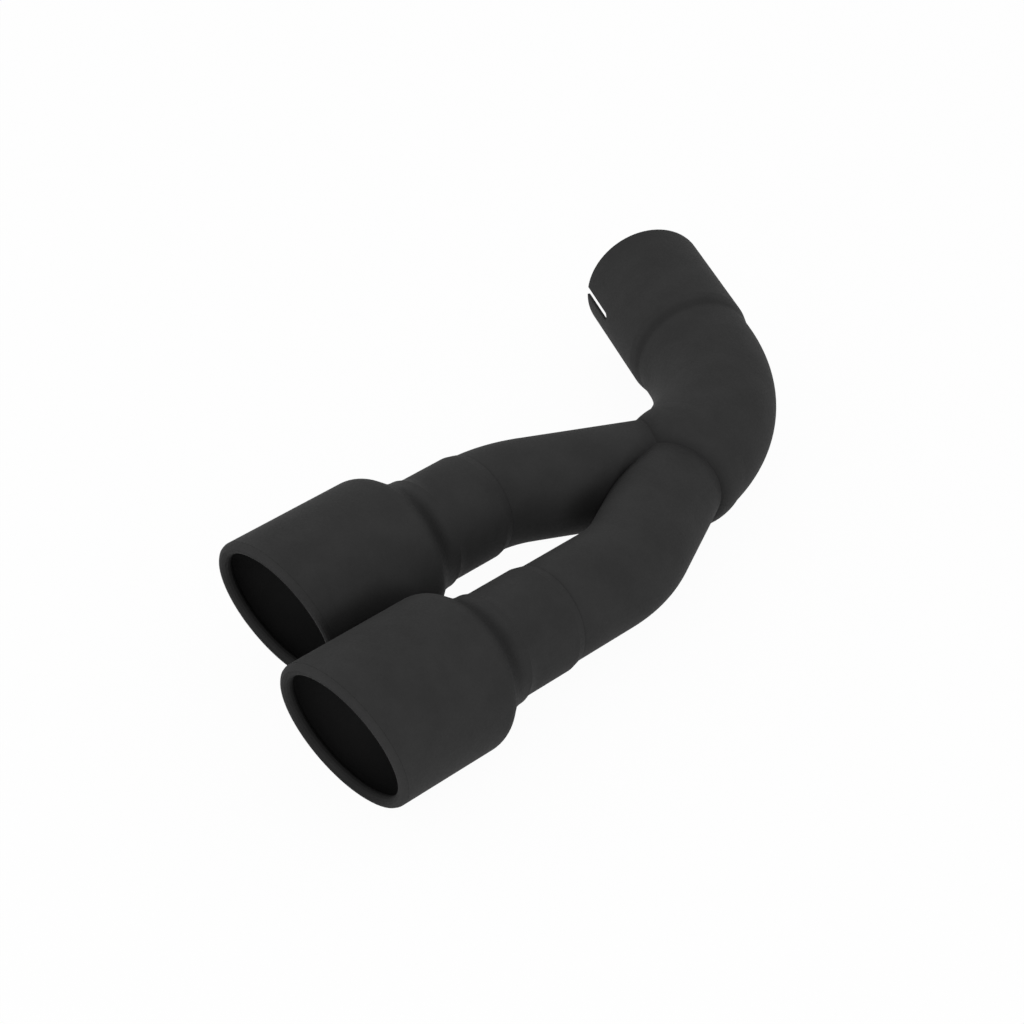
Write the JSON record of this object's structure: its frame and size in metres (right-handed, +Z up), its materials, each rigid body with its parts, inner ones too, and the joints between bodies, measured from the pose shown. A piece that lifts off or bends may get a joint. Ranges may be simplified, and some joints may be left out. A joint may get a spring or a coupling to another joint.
{
  "type": "exhaust tip",
  "caption": "Twin-outlet slip-on exhaust tip: clamp-on inlet sleeve, bent pipe, ball-shaped hub and legs to round slash-cut cans with rolled lips.",
  "frame": {"origin": "centre of the inlet sleeve's mouth", "axes": "+Y forward on the car, so the outlets face -Y; +Z up, with the slashed mouths' upper edges further out; the inlet's axis lies in the XY plane at 64 degrees from +Y towards -X"},
  "size_m": [0.2457, 0.4686, 0.0888],
  "materials": {
    "matt_black_coating": "matt black high-temperature coating on formed steel sheet and tube"
  },
  "bodies": {
    "root": {"inlet_elbow": "matt_black_coating", "left_leg": "matt_black_coating", "right_leg": "matt_black_coating", "left_tip": "matt_black_coating", "right_tip": "matt_black_coating"}
  },
  "joints": []
}
